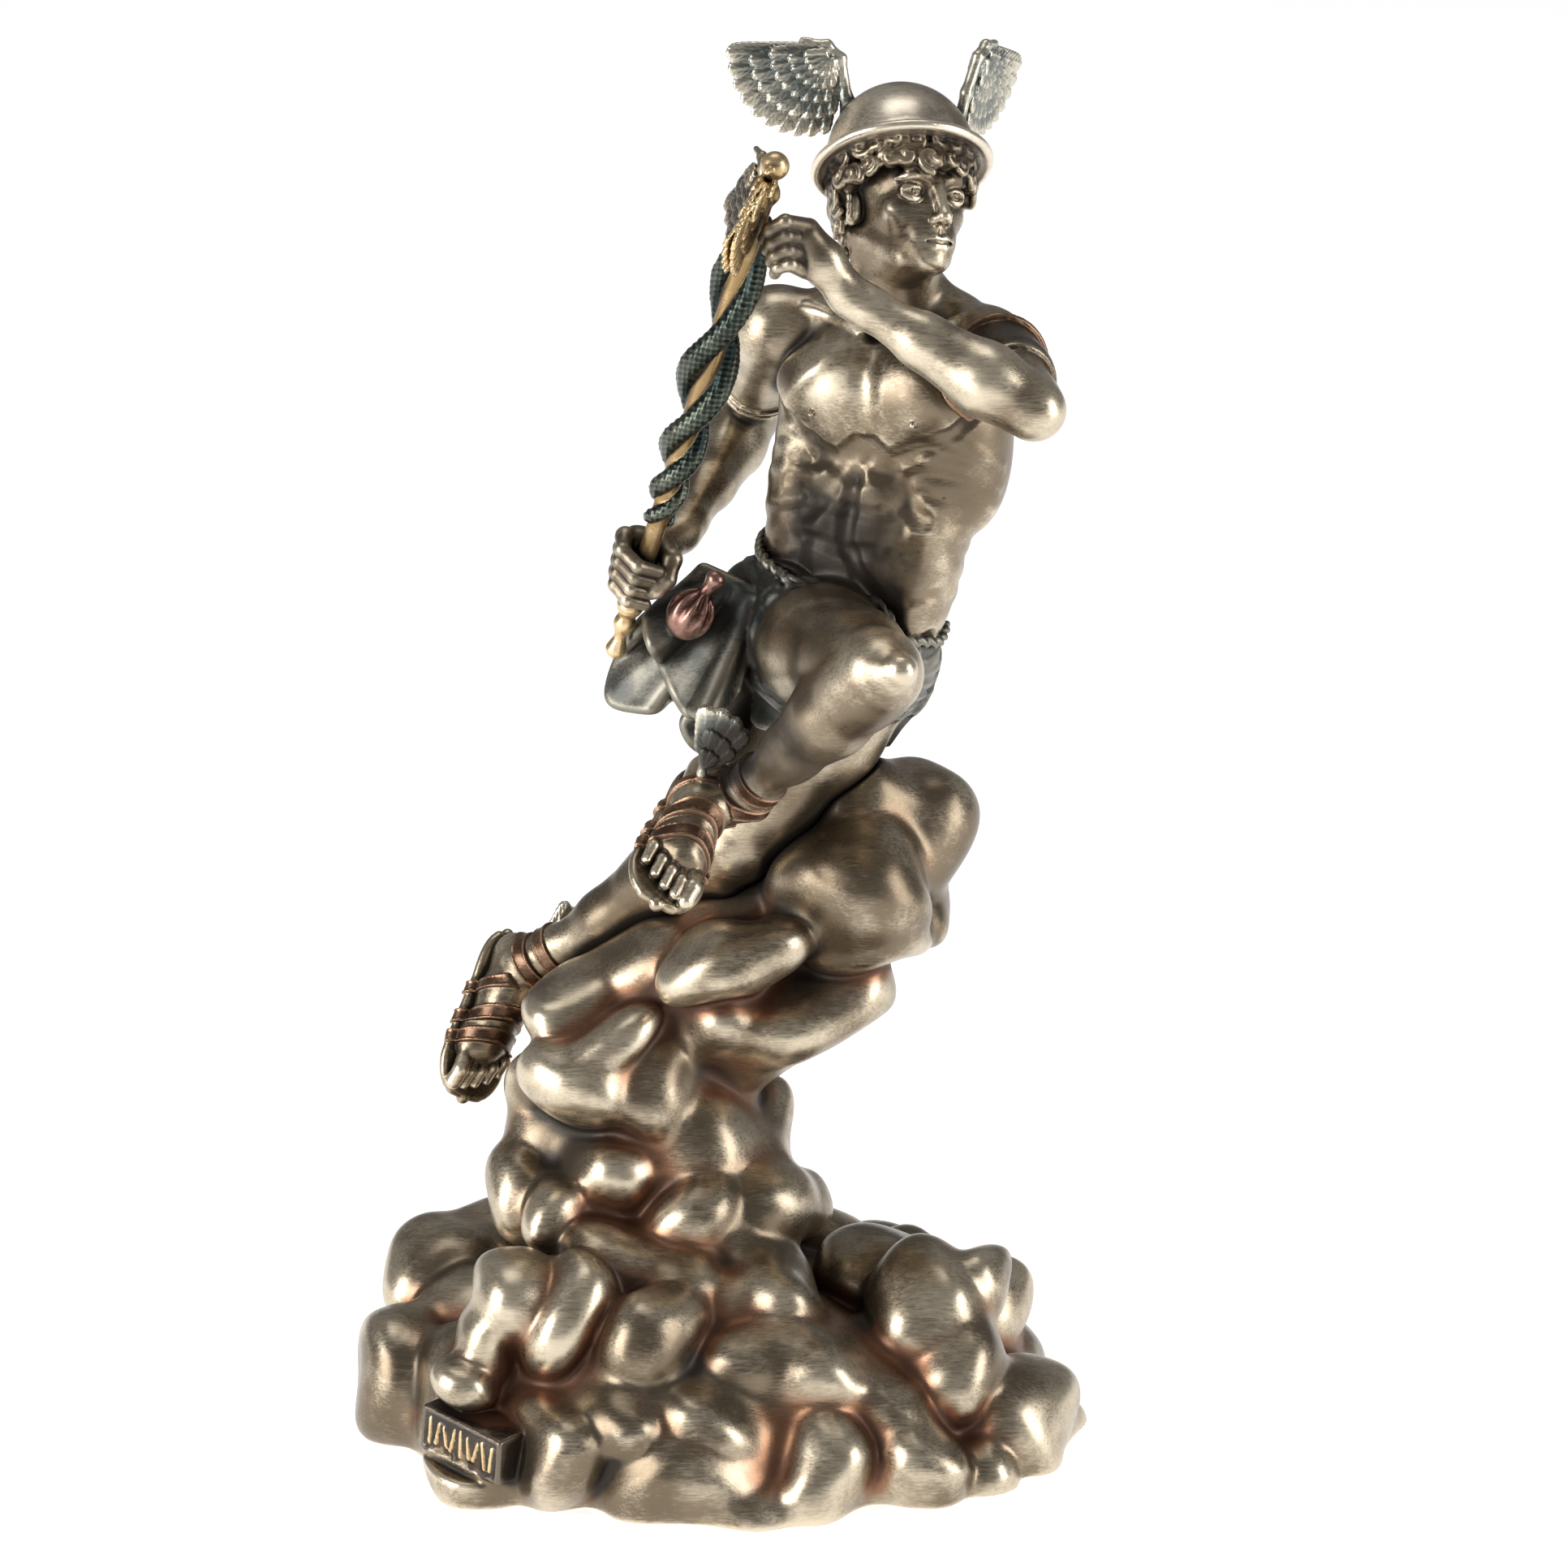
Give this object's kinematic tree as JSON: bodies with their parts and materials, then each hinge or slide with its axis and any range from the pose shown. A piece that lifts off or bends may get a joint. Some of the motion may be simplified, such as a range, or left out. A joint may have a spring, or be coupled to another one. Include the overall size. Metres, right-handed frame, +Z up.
{
  "type": "cold-cast bronze figurine of a messenger god",
  "caption": "Decorative cast figurine of a youth in a winged helmet and winged sandals, leaping from a tall bank of cloud with a snake-wound staff in hand.",
  "frame": {"origin": "the middle of the plinth's flat underside, where it stands on a shelf", "axes": "+Z up, -Y towards the viewer of the front, +X to the viewer's right"},
  "size_m": [0.1441, 0.1253, 0.2707],
  "materials": {
    "cloud_bronze": "cold-cast bronze: resin filled with bronze powder, dark brown in the hollows, reddish in the creases, lobes rubbed to a pale gold",
    "figure_bronze": "cold-cast bronze: dark brown patina rubbed back to pale gold on the high parts, with copper tints on the straps and purse and verdigris on the cloth and wings",
    "staff_bronze": "cold-cast bronze: gold rubbed rod, knobs and feathers, and snakes tinted blue-green over black"
  },
  "bodies": {
    "root": {"cloud_plinth": "cloud_bronze", "figure": "figure_bronze", "snake_staff": "staff_bronze"}
  },
  "joints": []
}
